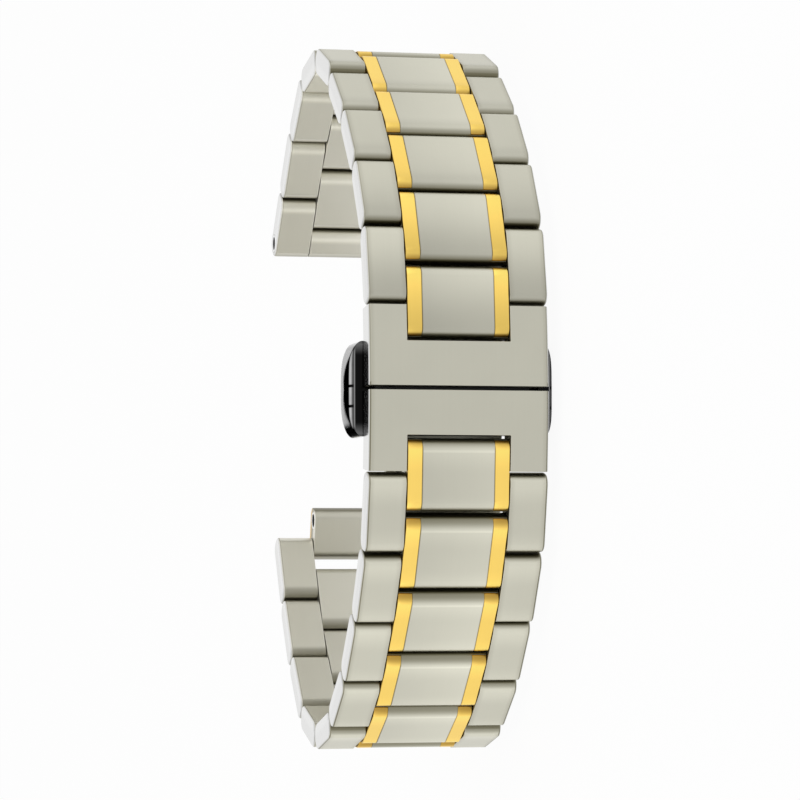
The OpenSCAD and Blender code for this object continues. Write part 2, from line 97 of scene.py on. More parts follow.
class Wire:
    """A node's socket, with the maths that an expression on values needs."""

    def __init__(self, sheet, socket):
        self.sheet = sheet
        self.socket = socket

    def output(self, name):
        """Another output of the same node."""
        return Wire(self.sheet, self.socket.node.outputs[name])

    def math(self, operation, *values):
        return self.sheet.add("ShaderNodeMath", {"operation": operation}, dict(enumerate(values)))

    def __add__(self, other):
        return self.math("ADD", self, other)

    def __radd__(self, other):
        return self.math("ADD", other, self)

    def __sub__(self, other):
        return self.math("SUBTRACT", self, other)

    def __rsub__(self, other):
        return self.math("SUBTRACT", other, self)

    def __mul__(self, other):
        return self.math("MULTIPLY", self, other)

    def __rmul__(self, other):
        return self.math("MULTIPLY", other, self)

    def __truediv__(self, other):
        return self.math("DIVIDE", self, other)

    def __gt__(self, other):
        return self.math("GREATER_THAN", self, other)

    def __lt__(self, other):
        return self.math("LESS_THAN", self, other)

    def __abs__(self):
        return self.math("ABSOLUTE", self)

    def least(self, other):
        return self.math("MINIMUM", self, other)

    def most(self, other):
        return self.math("MAXIMUM", self, other)

    def ramp(self, low, high, at_low=0.0, at_high=1.0):
        """A smooth step from at_low to at_high as the value goes from low to high."""
        return self.sheet.add(
            "ShaderNodeMapRange",
            {"interpolation_type": "SMOOTHSTEP"},
            {"Value": self, "From Min": low, "From Max": high, "To Min": at_low, "To Max": at_high},
            "Result",
        )


class Sheet:
    """A node tree to which nodes are added by type, settings and the values or links of their sockets."""

    def __init__(self, tree):
        self.tree = tree

    def connect(self, target, value):
        if isinstance(value, Wire):
            self.tree.links.new(value.socket, target)
        else:
            target.default_value = value

    def add(self, kind, settings=None, inputs=None, output=0):
        """Adds a node and gives one of its outputs. A list links several wires to the same socket."""
        node = self.tree.nodes.new(kind)
        for key, value in (settings or {}).items():
            setattr(node, key, value)
        for name, value in (inputs or {}).items():
            for each in value if isinstance(value, list) else [value]:
                self.connect(node.inputs[name], each)
        return Wire(self, node.outputs[output]) if len(node.outputs) else None

    def vector(self, x=0.0, y=0.0, z=0.0):
        return self.add("ShaderNodeCombineXYZ", None, {"X": x, "Y": y, "Z": z})

    def parts(self, vector):
        """The three numbers of a vector."""
        wire = self.add("ShaderNodeSeparateXYZ", None, {0: vector})
        return wire, wire.output("Y"), wire.output("Z")

    def attribute(self, name):
        return self.add("ShaderNodeAttribute", {"attribute_name": name}, None, "Vector")

    def tint(self, colour, factor):
        """A colour made lighter or darker by a factor."""
        if isinstance(colour, Wire):
            return self.add("ShaderNodeVectorMath", {"operation": "SCALE"}, {0: colour, "Scale": factor})
        return tuple(factor * part for part in colour[:3]) + (1.0,)

    def blend(self, factor, first, second):
        """Mixes two colours, which are a Mix node's inputs 6 and 7 and its output 2."""
        return self.add("ShaderNodeMix", {"data_type": "RGBA"}, {0: factor, 6: first, 7: second}, 2)


# Geometry of the links


def shape_tree(name, inputs):
    """A new geometry tree with the named inputs, its sheet, and a wire for each input."""
    tree = bpy.data.node_groups.new(name, "GeometryNodeTree")
    for label, kind, default in inputs:
        socket = tree.interface.new_socket(label, in_out="INPUT", socket_type=kind)
        if default is not None:
            socket.default_value = default
    tree.interface.new_socket("Geometry", in_out="OUTPUT", socket_type="NodeSocketGeometry")
    sheet = Sheet(tree)
    source = sheet.add("NodeGroupInput")
    return tree, sheet, {label: source.output(label) for label, _, _ in inputs}


def mark_edges(sheet, solid, wires):
    """Gives the sharp edges their share of the bevel, the whole of it on the sides of the band."""
    _, _, z = sheet.parts(sheet.add("GeometryNodeInputPosition"))
    sharp = sheet.add("GeometryNodeInputMeshEdgeAngle", None, None, "Unsigned Angle") > SHARP_ANGLE
    on_side = abs(z) > wires["Side"] - HAIR
    weight = sharp * (wires["Fine Edge"] + on_side * (1 - wires["Fine Edge"]))
    return sheet.add(
        "GeometryNodeStoreNamedAttribute",
        {"data_type": "FLOAT", "domain": "EDGE"},
        {"Geometry": solid, "Name": "bevel_weight_edge", "Value": weight},
    )


def end_tree(sheet, solid, wires):
    """Puts the smooth shape in its place with its material, and ends the tree."""
    smooth = sheet.add("GeometryNodeSetShadeSmooth", None, {0: solid, "Shade Smooth": True})
    placed = sheet.add(
        "GeometryNodeTransform", None, {0: smooth, "Translation": wires["Place"], "Rotation": wires["Turn"]}
    )
    real = sheet.add("GeometryNodeRealizeInstances", None, {0: placed})
    made = sheet.add("GeometryNodeSetMaterial", None, {"Geometry": real, "Material": wires["Material"]})
    sheet.add("NodeGroupOutput", None, {0: made})


def rolled_bar(sheet, wires, low, high):
    """A bar along Z with a link's side view, its ends rolled off on the outside and on the wrist side."""
    outline = sheet.add(
        "GeometryNodeCurvePrimitiveQuadrilateral",
        {"mode": "RECTANGLE"},
        {"Width": wires["Length"], "Height": wires["Thickness"]},
    )
    _, depth, _ = sheet.parts(sheet.add("GeometryNodeInputPosition"))
    outside = depth < 0.0
    roll = outside * wires["Outer Roll"] + (1 - outside) * wires["Wrist Roll"]
    rounded = sheet.add(
        "GeometryNodeFilletCurve",
        {"mode": "POLY"},
        {"Curve": outline, "Count": wires["Roll Steps"], "Radius": roll, "Limit Radius": True},
    )
    face = sheet.add("GeometryNodeFillCurve", {"mode": "NGONS"}, {"Curve": rounded})
    base = sheet.add("GeometryNodeTransform", None, {0: face, "Translation": sheet.vector(z=low)})
    raised = sheet.add(
        "GeometryNodeExtrudeMesh",
        {"mode": "FACES"},
        {"Mesh": base, "Offset": sheet.vector(z=1.0), "Offset Scale": high - low, "Individual": False},
    )
    under = sheet.add("GeometryNodeFlipFaces", None, {0: base})
    joined = sheet.add("GeometryNodeJoinGeometry", None, {0: [raised, under]})
    return sheet.add("GeometryNodeMergeByDistance", None, {0: joined, "Distance": WELD})


def round_bar(sheet, radius, half_length, place):
    """A round bar along Z, with its middle at a place along the link."""
    bar = sheet.add(
        "GeometryNodeMeshCylinder",
        {"fill_type": "NGON"},
        {"Vertices": BAR_SIDES, "Radius": radius, "Depth": half_length * 2},
        "Mesh",
    )
    return sheet.add("GeometryNodeTransform", None, {0: bar, "Translation": sheet.vector(x=place)})


def seat_box(sheet, wires, side):
    """The room of a gold strip: outside the strip's floor, and past its inner side."""
    width = wires["Strip Width"] + SPARE
    depth = wires["Thickness"]
    size = sheet.vector(wires["Length"] * 2, depth, width)
    box = sheet.add("GeometryNodeMeshCube", None, {"Size": size}, "Mesh")
    middle = (wires["Half Width"] - wires["Strip Width"] + width / 2) * side
    lift = wires["Strip Thickness"] - wires["Thickness"] / 2 - depth / 2
    return sheet.add("GeometryNodeTransform", None, {0: box, "Translation": sheet.vector(y=lift, z=middle)})


def boolean(sheet, operation, first, others):
    settings = {"operation": operation, "solver": "EXACT"}
    if operation == "DIFFERENCE":
        return sheet.add("GeometryNodeMeshBoolean", settings, {"Mesh 1": first, "Mesh 2": others})
    return sheet.add("GeometryNodeMeshBoolean", settings, {"Mesh 2": [first] + others})


PLACING_INPUTS = [
    ("Place", "NodeSocketVector", None),
    ("Turn", "NodeSocketRotation", None),
    ("Material", "NodeSocketMaterial", None),
]

LINK_INPUTS = PLACING_INPUTS + [
    ("Length", "NodeSocketFloat", 8.7 * MM),
    ("Thickness", "NodeSocketFloat", 3 * MM),
    ("Outer Roll", "NodeSocketFloat", 1.2 * MM),
    ("Wrist Roll", "NodeSocketFloat", 1.3 * MM),
    ("Roll Steps", "NodeSocketInt", 10),
    ("Side", "NodeSocketFloat", 10 * MM),
    ("Fine Edge", "NodeSocketFloat", 0.4),
]

OUTER_INPUTS = LINK_INPUTS + [
    ("Inner Edge", "NodeSocketFloat", 5.75 * MM),
    ("Pin Radius", "NodeSocketFloat", 0.5 * MM),
    ("Pin Half Length", "NodeSocketFloat", 9.2 * MM),
    ("First Pin", "NodeSocketFloat", -2.225 * MM),
    ("Second Pin", "NodeSocketFloat", 2.225 * MM),
    ("Hole Radius", "NodeSocketFloat", 0.0),
    ("Hole Place", "NodeSocketFloat", 0.0),
]

CENTRE_INPUTS = LINK_INPUTS + [
    ("Half Width", "NodeSocketFloat", 5.67 * MM),
    ("Strip Width", "NodeSocketFloat", 1.65 * MM),
    ("Strip Thickness", "NodeSocketFloat", 0.8 * MM),
    ("Bore Radius", "NodeSocketFloat", 0.55 * MM),
    ("First Bore", "NodeSocketFloat", -2.225 * MM),
    ("Second Radius", "NodeSocketFloat", 0.55 * MM),
    ("Second Bore", "NodeSocketFloat", 2.225 * MM),
]

SPRING_INPUTS = PLACING_INPUTS + [
    ("Turns", "NodeSocketFloat", 5.0),
    ("Coil Radius", "NodeSocketFloat", 1 * MM),
    ("Height", "NodeSocketFloat", 5 * MM),
    ("Wire Radius", "NodeSocketFloat", 0.2 * MM),
]


def outer_pair_tree():
    """Two outer plates and the pins that join them, or one pin and a hole where a tube is asked for."""
    tree, sheet, wires = shape_tree("outer pair", OUTER_INPUTS)
    upper = rolled_bar(sheet, wires, wires["Inner Edge"], wires["Side"])
    lower = rolled_bar(sheet, wires, wires["Side"] * -1, wires["Inner Edge"] * -1)
    plates = sheet.add("GeometryNodeJoinGeometry", None, {0: [upper, lower]})
    hole = round_bar(sheet, wires["Hole Radius"], wires["Side"] + SPARE, wires["Hole Place"])
    first = round_bar(sheet, wires["Pin Radius"], wires["Pin Half Length"], wires["First Pin"])
    second = round_bar(sheet, wires["Pin Radius"], wires["Pin Half Length"], wires["Second Pin"])
    two_pins = boolean(sheet, "UNION", plates, [first, second])
    one_pin = boolean(sheet, "UNION", boolean(sheet, "DIFFERENCE", plates, [hole]), [first])
    solid = sheet.add(
        "GeometryNodeSwitch",
        {"input_type": "GEOMETRY"},
        {"Switch": wires["Hole Radius"] > 0.0, "False": two_pins, "True": one_pin},
    )
    end_tree(sheet, mark_edges(sheet, solid, wires), wires)
    return tree


def centre_tree(is_gold):
    """A centre link's steel body with its two seats, or the gold strips that fill them."""
    tree, sheet, wires = shape_tree("gold strips" if is_gold else "centre body", CENTRE_INPUTS)
    bar = rolled_bar(sheet, wires, wires["Half Width"] * -1, wires["Half Width"])
    seats = [seat_box(sheet, wires, 1.0), seat_box(sheet, wires, -1.0)]
    bores = [
        round_bar(sheet, wires["Bore Radius"], wires["Side"], wires["First Bore"]),
        round_bar(sheet, wires["Second Radius"], wires["Side"], wires["Second Bore"]),
    ]
    if is_gold:
        both = sheet.add("GeometryNodeJoinGeometry", None, {0: seats})
        solid = boolean(sheet, "DIFFERENCE", boolean(sheet, "INTERSECT", bar, [both]), bores)
    else:
        solid = boolean(sheet, "DIFFERENCE", bar, seats + bores)
    end_tree(sheet, mark_edges(sheet, solid, wires), wires)
    return tree


def coil_tree():
    """A round wire wound into a coil along Z, with its lowest turn at the bottom."""
    tree, sheet, wires = shape_tree("return spring", SPRING_INPUTS)
    spiral = sheet.add(
        "GeometryNodeCurveSpiral",
        None,
        {
            "Resolution": 48,
            "Rotations": wires["Turns"],
            "Start Radius": wires["Coil Radius"],
            "End Radius": wires["Coil Radius"],
            "Height": wires["Height"],
        },
    )
    round_wire = {"Resolution": 12, "Radius": wires["Wire Radius"]}
    ring = sheet.add("GeometryNodeCurvePrimitiveCircle", None, round_wire)
    wound = {"Curve": spiral, "Profile Curve": ring, "Fill Caps": True}
    end_tree(sheet, sheet.add("GeometryNodeCurveToMesh", None, wound), wires)
    return tree


# Pieces


def new_piece(name, mesh=None):
    piece = bpy.data.objects.new(name, mesh or bpy.data.meshes.new(name))
    bpy.context.scene.collection.objects.link(piece)
    return piece


def grown_piece(name, tree, values):
    """A piece with a geometry tree, whose inputs are set through the identifiers of their sockets."""
    piece = new_piece(name)
    modifier = piece.modifiers.new(tree.name, "NODES")
    modifier.node_group = tree
    sockets = {item.name: item.identifier for item in tree.interface.items_tree if item.in_out == "INPUT"}
    for label, value in values.items():
        modifier[sockets[label]] = value
    return piece


def plain_mesh(piece):
    """Turns a piece with its modifiers into a plain mesh."""
    bpy.context.view_layer.update()
    evaluated = piece.evaluated_get(bpy.context.evaluated_depsgraph_get())
    mesh = bpy.data.meshes.new_from_object(evaluated)
    old = piece.data
    piece.modifiers.clear()
    piece.data = mesh
    mesh.name = piece.name
    bpy.data.meshes.remove(old)
    if not len(mesh.polygons):
        raise RuntimeError(f"{piece.name} came out empty")
    return piece


def add_bevel(piece, width, segments=3, angle=None):
    """Rounds the edges that are sharper than an angle in degrees, or else those that carry a weight."""
    bevel = piece.modifiers.new("edges", "BEVEL")
    bevel.width = width
    bevel.segments = segments
    bevel.limit_method = "WEIGHT"
    if angle is not None:
        bevel.limit_method = "ANGLE"
        bevel.angle_limit = math.radians(angle)
    bevel.use_clamp_overlap = True
    bevel.miter_outer = "MITER_ARC"
    normals = piece.modifiers.new("normals", "WEIGHTED_NORMAL")
    normals.weight = 60
    normals.keep_sharp = False


def softened(node, name, width, material, segments=2):
    """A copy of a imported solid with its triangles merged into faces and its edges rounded."""
    piece = new_piece(name, frame["nodes"][node].data.copy())
    shell = bmesh.new()
    shell.from_mesh(piece.data)
    bmesh.ops.remove_doubles(shell, verts=shell.verts, dist=2 * WELD)
    bmesh.ops.dissolve_limit(shell, angle_limit=math.radians(0.5), verts=shell.verts, edges=shell.edges)
    for face in shell.faces:
        face.smooth = True
        face.material_index = 0
    shell.to_mesh(piece.data)
    shell.free()
    if piece.data.has_custom_normals:
        piece.data.attributes.remove(piece.data.attributes["custom_normal"])
    piece.data.materials.clear()
    piece.data.materials.append(material)
    add_bevel(piece, width, segments, angle=25.0)
    return plain_mesh(piece)


def write_vectors(mesh, name, values):
    """Keeps a vector for each point of a mesh."""
    attribute = mesh.attributes.new(name, "FLOAT_VECTOR", "POINT")
    attribute.data.foreach_set("vector", values.astype(np.float32).ravel())


def mark_ends(piece, matrix, length):
    """Keeps how far each point is from its link's clasp end, far end and outer face, in millimetres."""
    mesh = piece.data
    points = np.empty(len(mesh.vertices) * 3)
    mesh.vertices.foreach_get("co", points)
    back = np.array(matrix.inverted())
    local = points.reshape(-1, 3) @ back[:3, :3].T + back[:3, 3]
    x, y = local[:, 0], local[:, 1]
    distances = np.column_stack((length / 2 + x, length / 2 - x, sizes().thickness / 2 + y))
    write_vectors(mesh, ENDS, distances / MM)


def link_matrix(half, pin, towards, shift):
    """A link's own frame: X away from the clasp, Y towards the wrist, its middle at shift past its pin."""
    along = (towards - pin).normalized()
    way = 1 if half == "a" else -1
    inward = Vector((-way * along.y, way * along.x, 0.0))
    matrix = Matrix((along, inward, along.cross(inward))).transposed().to_4x4()
    matrix.translation = pin + along * shift
    return matrix


def set_on(piece, body, node):
    """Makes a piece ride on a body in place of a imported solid."""
    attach(piece, body)
    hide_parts(node)


# Finishes

BLACK = (0.0, 0.0, 0.0, 1.0)
# Colours towards which the seam lines and the painted shade darken steel and gold
SEAM_AND_SHADE_COLOUR = (0.1, 0.088, 0.04, 1.0)
GOLD_SHADE = (0.22, 0.1, 0.01, 1.0)

# A Mix node's factor ends at 1, so a level is scaled down by this before it and back after it
LEVEL_ROOM = 0.6


def grey(level):
    return (level, level, level, 1.0)


class Finish:
    """A material's sheet with its Principled shader."""

    def __init__(self, name):
        self.material = bpy.data.materials.new(name)
        self.material.use_nodes = True
        self.sheet = Sheet(self.material.node_tree)
        self.shader = self.material.node_tree.nodes["Principled BSDF"]

    def set(self, **values):
        """Sets the shader's sockets, named with underscores for their spaces."""
        for name, value in values.items():
            self.sheet.connect(self.shader.inputs[name.replace("_", " ")], value)

    def place(self):
        """The point on the piece in millimetres."""
        point = self.sheet.add("ShaderNodeTexCoord", None, None, "Object")
        return self.sheet.tint(point, 1 / MM)

    def noise(self, vector, scale, detail=3.0, rough=0.6):
        inputs = {"Vector": vector, "Scale": scale, "Detail": detail, "Roughness": rough}
        return self.sheet.add("ShaderNodeTexNoise", None, inputs, "Fac")

    def bump(self, height, strength, distance):
        inputs = {"Height": height, "Strength": strength, "Distance": distance}
        return self.sheet.add("ShaderNodeBump", None, inputs, "Normal")


class LinkFace:
    """Where a point lies on its link, in millimetres, with masks for the parts of the band, and the link's painted
    shade and painted light.
    """

    # How dark each mark is: the seam lines, then the painted shade beside the centre row, in the grooves, on the
    # ends and along the wrist side's lower edge
    SEAM, BESIDE_CENTRE, GROOVE = 0.5, 0.16, 0.85
    ROLLED_END, PLAIN_END, WRIST_EDGE = 0.72, 0.6, 0.55

    def __init__(self, sheet, x, across):
        self.clasp_end, self.far_end, depth = sheet.parts(sheet.attribute(ENDS))
        self.outer = depth.ramp(2.2, 1.4)
        self.in_a = x > 0.0
        self.in_b = 1 - self.in_a
        self.in_centre = across < CENTRE_EDGE
        self.rolled = self.in_centre * self.in_b
        self.bend = abs(x).ramp(12.0, 30.0)

    def seams_and_painted_shade(self, across, flank_shade):
        """How dark a link is: dark seam lines, and painted shade beside the centre row, at its clasp end, in the
        grooves between links and along the lower edge of its wrist side.
        """
        strip_seam = abs(across - STRIP_EDGE).ramp(0.11, 0.03)
        centre_seam = abs(across - CENTRE_EDGE).ramp(0.14, 0.05)
        seams = strip_seam.most(centre_seam) * self.SEAM
        # Painted shade beside the centre row
        near_centre = across.ramp(CENTRE_EDGE + 0.75, CENTRE_EDGE + 0.05) * (across > CENTRE_EDGE)
        beside = near_centre * self.BESIDE_CENTRE
        # Painted shade on the end towards the clasp, wide on the rolled centre links of the lower half
        wide = self.clasp_end.ramp(1.25, 0.2) * self.ROLLED_END
        narrow = self.clasp_end.ramp(0.62, 0.12) * self.PLAIN_END
        end = self.rolled * wide + (1 - self.rolled) * narrow
        # Painted shade in the grooves between links, at both ends
        groove = self.clasp_end.least(self.far_end).ramp(0.3, 0.05) * self.GROOVE
        # Painted shade along the lower edge of the wrist side
        lower_edge = self.in_a * self.far_end.ramp(1.5, 0.2) + self.in_b * self.clasp_end.ramp(1.5, 0.2)
        outside = flank_shade.most(beside).most(seams).most(end) * self.outer
        return outside.most(groove).most(lower_edge * (1 - self.outer) * self.WRIST_EDGE)

    def painted_sheen(self, aside, gain):
        """Painted light and shade on the outer face, 1 for its plain colour: it changes along each link, grows
        towards the bends and across the centre row, with a painted highlight where the rolled end meets the face.
        """
        centre = self.in_centre
        # A painted highlight where the rolled end meets the face
        painted_highlight_line = self.clasp_end.ramp(1.16, 1.28) * self.clasp_end.ramp(1.56, 1.4)
        # Painted light: lighter from the clasp end to the far end in the upper half, and towards the bends
        straight = self.clasp_end.ramp(0.8, 8.7, 0.84, 1.27)
        bent = self.clasp_end.ramp(0.5, 2.6, 1.0, 1.14) * (1 + centre * 0.08 * gain)
        upper = straight * (1 - self.bend) + self.bend * bent
        lower = abs(self.clasp_end - 4.9).ramp(1.0, 4.2, 1.06, 1.24)
        lower = lower * (1 + self.bend * gain * (0.07 + centre * 0.07))
        painted_sheen = self.in_a * upper + self.in_b * lower
        return painted_sheen * (1 - aside * centre * 0.018 * gain) * (1 + painted_highlight_line * self.rolled * 0.12 * gain)

    def level(self, aside, gain):
        """Painted light on the outer face, and a painted highlight along the upper edge of the wrist side of the
        upper half.
        """
        painted_upper_light = self.in_a * self.clasp_end.ramp(1.8, 0.9) * (1 - self.outer)
        return (1 + (self.painted_sheen(aside, gain) - 1) * self.outer) * (1 + painted_upper_light * 0.35)


def brushed(name, face, wrist, side, shade, is_link, rough=0.36, gain=1.0):
    """Satin metal brushed along the band and polished on its flanks, with painted shade and painted light on
    links; gain scales how much the painted light changes.
    """
    finish = Finish(name)
    sheet = finish.sheet
    point = finish.place()
    x, y, z = sheet.parts(point)
    aside = z - MIDDLE / MM
    across = abs(aside)
    lines = finish.noise(sheet.vector(x * 0.05, y * 0.05, z * 9.0), 1.0, 4.0, 0.7)
    clouds = finish.noise(point, 0.16, 2.0, 0.5)
    level = 1 + (lines - 0.5) * 0.05 + (clouds - 0.5) * 0.07
    # Painted shade, darker towards the flanks
    dark = across.ramp(9.2, 9.8) * 0.16
    colour, rim = face, side
    if is_link:
        link = LinkFace(sheet, x, across)
        dark = link.seams_and_painted_shade(across, dark)
        level = level * link.level(aside, gain)
        # The wrist side takes its lighter colour: painted light for the shade inside the loop
        colour = sheet.blend(link.outer, wrist, face)
        # The flanks darken with the painted shade as well, towards dark grey
        rim = sheet.blend(dark * 0.8, side, grey(0.3))
    flank = across.ramp(FLANK_EDGE - 0.02, FLANK_EDGE + 0.09)
    # Painted shade along the edge between face and flank, stronger on the lower front
    painted_flank_shade = abs(across - FLANK_EDGE).ramp(0.13, 0.04) * (0.5 + (x < 0.0) * (y < 0.0) * 0.3)
    colour = sheet.blend(level * LEVEL_ROOM, BLACK, sheet.tint(colour, 1 / LEVEL_ROOM))
    colour = sheet.blend((dark * (1 - flank)).most(painted_flank_shade), colour, shade)
    finish.set(
        Base_Color=sheet.blend(flank * (1 - painted_flank_shade), colour, rim),
        Metallic=1.0,
        Roughness=(rough + (lines - 0.5) * 0.08) * (1 - flank) + flank * 0.14,
        Normal=finish.bump(lines, 0.06, 0.02 * MM),
    )
    return finish.material


def polished(name, colour, rough):
    """Polished metal with faint handling marks."""
    finish = Finish(name)
    point = finish.place()
    marks = finish.noise(point, 1.4, 5.0, 0.7)
    clouds = finish.noise(point, 0.3, 2.0, 0.5)
    finish.set(
        Base_Color=finish.sheet.blend(clouds, finish.sheet.tint(colour, 0.9), colour),
        Metallic=1.0,
        Roughness=rough + (marks - 0.5) * 0.1,
        Normal=finish.bump(marks, 0.03, 0.01 * MM),
    )
    return finish.material


def black_crown(name, colour):
    """Black polished crown, with a painted reflection along its outline, painted highlights along its front edge
    and at its ends, and two dark breaks in the front highlight.
    """
    finish = Finish(name)
    sheet = finish.sheet
    marks = finish.noise(finish.place(), 0.9, 4.0, 0.6)
    along, behind, _ = sheet.parts(sheet.attribute(CROWN))
    from_middle = abs(along)
    breaks = abs(along - 0.3).ramp(0.1, 0.22) * abs(along + 1.9).ramp(0.1, 0.22)
    # Painted highlights: along the front edge, at its very rim and at the ends
    highlight_streak = behind.ramp(0.15, 0.45, 0.12, 1.0) * behind.ramp(0.0, 0.05) * behind.ramp(0.8, 0.66)
    front = behind.ramp(0.0, 0.015) * behind.ramp(0.09, 0.04) * 0.2
    ends = from_middle.ramp(3.6, 4.9) * behind.ramp(2.6, 1.2) * 0.1
    # A painted reflection along the outline, where the surface turns away from view
    facing = sheet.add("ShaderNodeLayerWeight", None, {"Blend": 0.5}, "Facing")
    tip = from_middle.ramp(3.4, 5.2) * 0.09
    rim = facing.ramp(tip + 0.76, tip + 0.81)
    painted_highlight = (highlight_streak * breaks * (0.4 + marks * 0.6) * 0.75).most(front) * from_middle.ramp(4.7, 4.1)
    finish.set(
        Base_Color=sheet.blend(painted_highlight.most(ends).most(rim * 0.8), colour, grey(1.0)),
        Metallic=1.0,
        Specular_Tint=grey(0.1),
        Roughness=0.12 + (marks - 0.5) * 0.08,
        Coat_Weight=rim,
        Coat_Roughness=0.06,
        Coat_IOR=2.4,
        Normal=finish.bump(marks, 0.03, 0.01 * MM),
    )
    return finish.material


FINISHES = {}


def make_finishes():
    """The seven finishes of the bracelet, made once."""
    if FINISHES:
        return
    look = bpy.context.scene.band_look
    names = ("steel", "wrist_side", "flank", "gold", "button")
    steel, wrist, flank, gold, black = (tuple(getattr(look, name)) + (1.0,) for name in names)
    FINISHES["link"] = brushed("satin_steel_link", steel, wrist, flank, SEAM_AND_SHADE_COLOUR, True)
    FINISHES["clasp"] = brushed("satin_steel_clasp", steel, wrist, flank, SEAM_AND_SHADE_COLOUR, False)
    FINISHES["gold"] = brushed("satin_gold", gold, gold, gold, GOLD_SHADE, True, rough=0.32, gain=0.0)
    FINISHES["bright"] = polished("polished_steel", grey(0.82), 0.14)
    # Nearly black steel for the latch housing: painted shade, so that the gap between the covers shows dark
    FINISHES["dark"] = polished("gap_shade_steel", grey(0.03), 0.35)
    FINISHES["button"] = black_crown("black_polished_crown", black)
    FINISHES["slider"] = polished("black_polished_slider", black, 0.2)


# Sizes and colours


class BandSizes(bpy.types.PropertyGroup):
    """Sizes of the bracelet."""

    thickness: bpy.props.FloatProperty(
        name="Thickness", description="Thickness of the links",
        default=3 * MM, unit="LENGTH", precision=5,
    )
    pin_step: bpy.props.FloatProperty(
        name="Pin step", description="Distance between neighbouring pins",
        default=4.45 * MM, unit="LENGTH", precision=5,
    )
    link_gap: bpy.props.FloatProperty(
        name="Link gap", description="Gap between two links in one row",
        default=0.2 * MM, unit="LENGTH", precision=5,
    )
    outer_roll: bpy.props.FloatProperty(
        name="Outer roll", description="Rounding of the ends outside",
        default=1.2 * MM, unit="LENGTH", precision=5,
    )
    wrist_roll: bpy.props.FloatProperty(
        name="Wrist roll", description="Rounding of the ends inside",
        default=1.3 * MM, unit="LENGTH", precision=5,
    )
    side_edge: bpy.props.FloatProperty(
        name="Side edge", description="Bevel along the band's sides",
        default=0.22 * MM, unit="LENGTH", precision=5,
    )
    bar_inset: bpy.props.FloatProperty(
        name="Bar inset", description="From a spring bar to its link's end",
        default=1.5 * MM, unit="LENGTH", precision=5,
    )
    tube_radius: bpy.props.FloatProperty(
        name="Tube radius", description="Radius of the spring bar tubes",
        default=1.05 * MM, unit="LENGTH", precision=5,
    )
    first_cut: bpy.props.FloatProperty(
        name="First cut", description="Taken off the first centre link",
        default=0.775 * MM, unit="LENGTH", precision=6,
    )
    end_link: bpy.props.FloatProperty(
        name="End link", description="Length of the lower half's end link",
        default=6.3 * MM, unit="LENGTH", precision=5,
    )
    end_reach: bpy.props.FloatProperty(
        name="End reach", description="Length of the end link past its pin",
        default=5.2 * MM, unit="LENGTH", precision=5,
    )
    button_length: bpy.props.FloatProperty(
        name="Button length", description="Length along the band",
        default=10.4 * MM, unit="LENGTH", precision=5,
    )
    button_width: bpy.props.FloatProperty(
        name="Button width", description="Width through the thickness",
        default=4.8 * MM, unit="LENGTH", precision=5,
    )
    button_rise: bpy.props.FloatProperty(
        name="Button rise", description="Height over the band's side",
        default=1.65 * MM, unit="LENGTH", precision=5,
    )
    crown_radius: bpy.props.FloatProperty(
        name="Crown radius", description="Radius of the crown's arc",
        default=8 * MM, unit="LENGTH", precision=5,
    )
    crown_crest: bpy.props.FloatProperty(
        name="Crown crest", description="From the button's front to its crest",
        default=3 * MM, unit="LENGTH", precision=5,
    )
    crown_root: bpy.props.FloatProperty(
        name="Crown root", description="Depth of the button in the side",
        default=0.25 * MM, unit="LENGTH", precision=5,
    )
    crown_cut: bpy.props.FloatProperty(
        name="Crown cut", description="From the middle to the slider's end",
        default=9.8 * MM, unit="LENGTH", precision=5,
    )
    wire_radius: bpy.props.FloatProperty(
        name="Wire radius", description="Radius of the springs' wire",
        default=0.15 * MM, unit="LENGTH", precision=6,
    )
    spring_turns: bpy.props.FloatProperty(
        name="Spring turns", description="Turns of a return spring",
        default=5.0, min=1.0, max=10.0,
    )


class BandLook(bpy.types.PropertyGroup):
    """Colours of the finishes."""

    steel: bpy.props.FloatVectorProperty(
        name="Satin steel", description="Brushed faces",
        subtype="COLOR", default=(0.52, 0.51, 0.43), min=0.0, max=1.0,
    )
    flank: bpy.props.FloatVectorProperty(
        name="Polished flanks", description="Sides of the band",
        subtype="COLOR", default=(0.72, 0.72, 0.71), min=0.0, max=1.0,
    )
    # A lighter copy of the steel colour: painted light that makes up for the shade on the faces inside the loop
    wrist_side: bpy.props.FloatVectorProperty(
        name="Wrist side", description="Smooth faces inside",
        subtype="COLOR", default=(0.72, 0.705, 0.625), min=0.0, max=1.0,
    )
    gold: bpy.props.FloatVectorProperty(
        name="Gold", description="Strips beside the centre",
        subtype="COLOR", default=(0.9, 0.63, 0.15), min=0.0, max=1.0,
    )
    button: bpy.props.FloatVectorProperty(
        name="Buttons", description="Push buttons",
        subtype="COLOR", default=(0.006, 0.006, 0.006), min=0.0, max=1.0,
    )


def sizes():
    return bpy.context.scene.band_sizes


# Links


def link_length():
    return 2 * sizes().pin_step - sizes().link_gap


def link_values(matrix, length, material):
    """The inputs that every link's tree needs."""
    return {
        "Length": length,
        "Thickness": sizes().thickness,
        "Outer Roll": sizes().outer_roll,
        "Wrist Roll": sizes().wrist_roll,
        "Place": tuple(matrix.translation),
        "Turn": tuple(matrix.to_euler()),
        "Material": material,
    }


def chain_pin(half, row, number):
    return HINGES[f"{half}_{row}_{number}_hinge"]


def outer_matrix(half, number):
    """The frame of an outer pair, from its pin and the next pin or spring bar."""
    pin = chain_pin(half, "outer", number)
    if number < PAIRS:
        towards = chain_pin(half, "center", number + 1)
    else:
        towards = MOUNTS["a_spring_bar_bore"] if half == "a" else HINGES["b_center_10_hinge"]
    return link_matrix(half, pin, towards, sizes().pin_step / 2)


